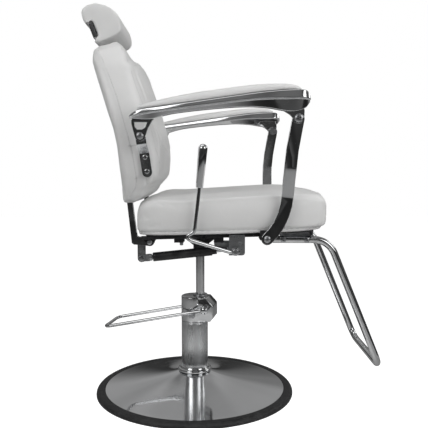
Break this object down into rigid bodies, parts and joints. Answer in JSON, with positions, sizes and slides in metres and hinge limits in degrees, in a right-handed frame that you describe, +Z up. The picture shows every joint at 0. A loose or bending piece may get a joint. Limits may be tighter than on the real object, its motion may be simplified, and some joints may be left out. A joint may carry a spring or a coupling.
{
  "type": "barber chair",
  "caption": "Hydraulic barber chair with a padded seat, a reclining back, a sliding headrest, linked armrests, a bent footrest, a pump pedal and a round chrome base.",
  "frame": {"origin": "centre of the round base on the floor", "axes": "+Z up, +X the way the sitter faces, +Y to the sitter's left"},
  "size_m": [0.8208, 0.724, 1.1029],
  "materials": {
    "chrome": "polished chrome plate",
    "satin_steel": "satin steel",
    "zinc_steel": "bright zinc plate",
    "black_steel": "semi-gloss black paint",
    "black_rubber": "matt moulded rubber",
    "white_leatherette": "soft semi-matt leatherette, stitched",
    "black_board": "board under a black dust cloth"
  },
  "bodies": {
    "base": {"base_plate": "black_steel", "base_cover": "chrome", "base_rim_trim": "black_rubber", "pump_collar": "chrome", "pump_cylinder": "satin_steel", "pump_head": "chrome", "pump_plug": "zinc_steel", "rod_gland": "zinc_steel"},
    "lift": {"piston_rod": "chrome"},
    "pedal": {"pedal_loop": "chrome", "pedal_shaft": "chrome"},
    "plunger": {"pump_plunger": "black_steel"},
    "seat": {"mount_plate": "black_steel", "mount_bolt_1": "zinc_steel", "mount_bolt_2": "zinc_steel", "mount_bolt_3": "zinc_steel", "mount_bolt_4": "zinc_steel", "seat_frame": "black_steel", "seat_board": "black_board", "seat_cushion": "white_leatherette", "hinge_lug_L": "black_steel", "hinge_lug_R": "black_steel", "recline_bolt_L": "zinc_steel", "recline_bolt_R": "zinc_steel", "link_ear_L": "black_steel", "link_ear_R": "black_steel", "link_bolt_L": "zinc_steel", "link_bolt_R": "zinc_steel", "gas_bracket": "zinc_steel", "lever_bracket": "zinc_steel", "footrest_tube": "chrome", "footrest_channel": "zinc_steel", "footrest_bolt_1": "zinc_steel", "footrest_bolt_2": "zinc_steel", "footrest_bolt_3": "zinc_steel", "footrest_bolt_4": "zinc_steel"},
    "backrest": {"backrest_cushion": "white_leatherette", "back_bracket_L": "chrome", "back_bracket_R": "chrome", "recline_tail": "chrome", "arm_strap_L": "chrome", "arm_strap_R": "chrome", "headrest_sleeve": "chrome"},
    "headrest": {"headrest_cushion": "white_leatherette", "headrest_bracket": "chrome"},
    "arm_L": {"arm_frame_L": "chrome", "arm_pad_L": "white_leatherette", "arm_front_bolt_L": "zinc_steel", "arm_rear_bolt_L": "zinc_steel"},
    "arm_R": {"arm_frame_R": "chrome", "arm_pad_R": "white_leatherette", "arm_front_bolt_R": "zinc_steel", "arm_rear_bolt_R": "zinc_steel"},
    "link_L": {"front_link_L": "chrome"},
    "link_R": {"front_link_R": "chrome"},
    "gas_tube": {"gas_cylinder": "black_steel"},
    "gas_piston": {"gas_rod": "chrome"},
    "lever": {"release_lever": "chrome", "lever_grip": "chrome", "lever_shaft": "zinc_steel"}
  },
  "joints": [
    {"name": "seat_lift", "type": "slide", "parent": "base", "child": "lift", "axis": [0, 0, 1], "range_m": [-0.1, 0.045]},
    {"name": "seat_swivel", "type": "hinge", "parent": "lift", "child": "seat", "pos_m": [0.0165, 0, 0.4645], "axis": [0, 0, 1], "continuous": true},
    {"name": "pump_pedal", "type": "hinge", "parent": "base", "child": "pedal", "pos_m": [0.04025, -0.00782, 0.2556], "axis": [-0.1908, -0.9816, 0], "range_deg": [0, 22], "stiffness_Nm_per_rad": 15, "springref_deg": -8.59},
    {"name": "plunger_slide", "type": "slide", "parent": "base", "child": "plunger", "axis": [0, 0, -1], "range_m": [0, 0.0075]},
    {"name": "back_recline", "type": "hinge", "parent": "seat", "child": "backrest", "pos_m": [-0.1105, 0, 0.4723], "axis": [0, -1, 0], "range_deg": [0, 40]},
    {"name": "headrest_slide", "type": "slide", "parent": "backrest", "child": "headrest", "axis": [-0.2652, 0, 0.9642], "range_m": [0, 0.07]},
    {"name": "arm_pivot_L", "type": "hinge", "parent": "backrest", "child": "arm_L", "pos_m": [-0.1226, 0.3055, 0.7404], "axis": [0, -1, 0], "range_deg": [-31.5, 0]},
    {"name": "arm_pivot_R", "type": "hinge", "parent": "backrest", "child": "arm_R", "pos_m": [-0.1226, -0.3055, 0.7404], "axis": [0, -1, 0], "range_deg": [-31.5, 0]},
    {"name": "link_pivot_L", "type": "hinge", "parent": "seat", "child": "link_L", "pos_m": [0.1881, 0.2748, 0.4858], "axis": [0, -1, 0], "range_deg": [0, 35.1]},
    {"name": "link_pivot_R", "type": "hinge", "parent": "seat", "child": "link_R", "pos_m": [0.1881, -0.2748, 0.4858], "axis": [0, -1, 0], "range_deg": [0, 35.1]},
    {"name": "gas_tube_pivot", "type": "hinge", "parent": "backrest", "child": "gas_tube", "pos_m": [-0.1345, -0.1917, 0.426], "axis": [0, -1, 0], "range_deg": [-37.4, 0]},
    {"name": "gas_rod_pivot", "type": "hinge", "parent": "seat", "child": "gas_piston", "pos_m": [0.11, -0.1917, 0.4508], "axis": [0, -1, 0], "range_deg": [0, 2.8]},
    {"name": "release_lever", "type": "hinge", "parent": "seat", "child": "lever", "pos_m": [0.11, -0.2475, 0.451], "axis": [0, -1, 0], "range_deg": [0, 14], "stiffness_Nm_per_rad": 6, "springref_deg": -11.46}
  ],
  "couplings": [
    {"joint": "plunger_slide", "follows": "pump_pedal", "m_per_rad": 0.019},
    {"joint": "arm_pivot_L", "follows": "back_recline", "ratio": -0.784},
    {"joint": "arm_pivot_R", "follows": "back_recline", "ratio": -0.784},
    {"joint": "link_pivot_L", "follows": "back_recline", "ratio": 0.8743},
    {"joint": "link_pivot_R", "follows": "back_recline", "ratio": 0.8743},
    {"joint": "gas_tube_pivot", "follows": "back_recline", "ratio": -0.9325},
    {"joint": "gas_rod_pivot", "follows": "back_recline", "ratio": 0.0675}
  ]
}
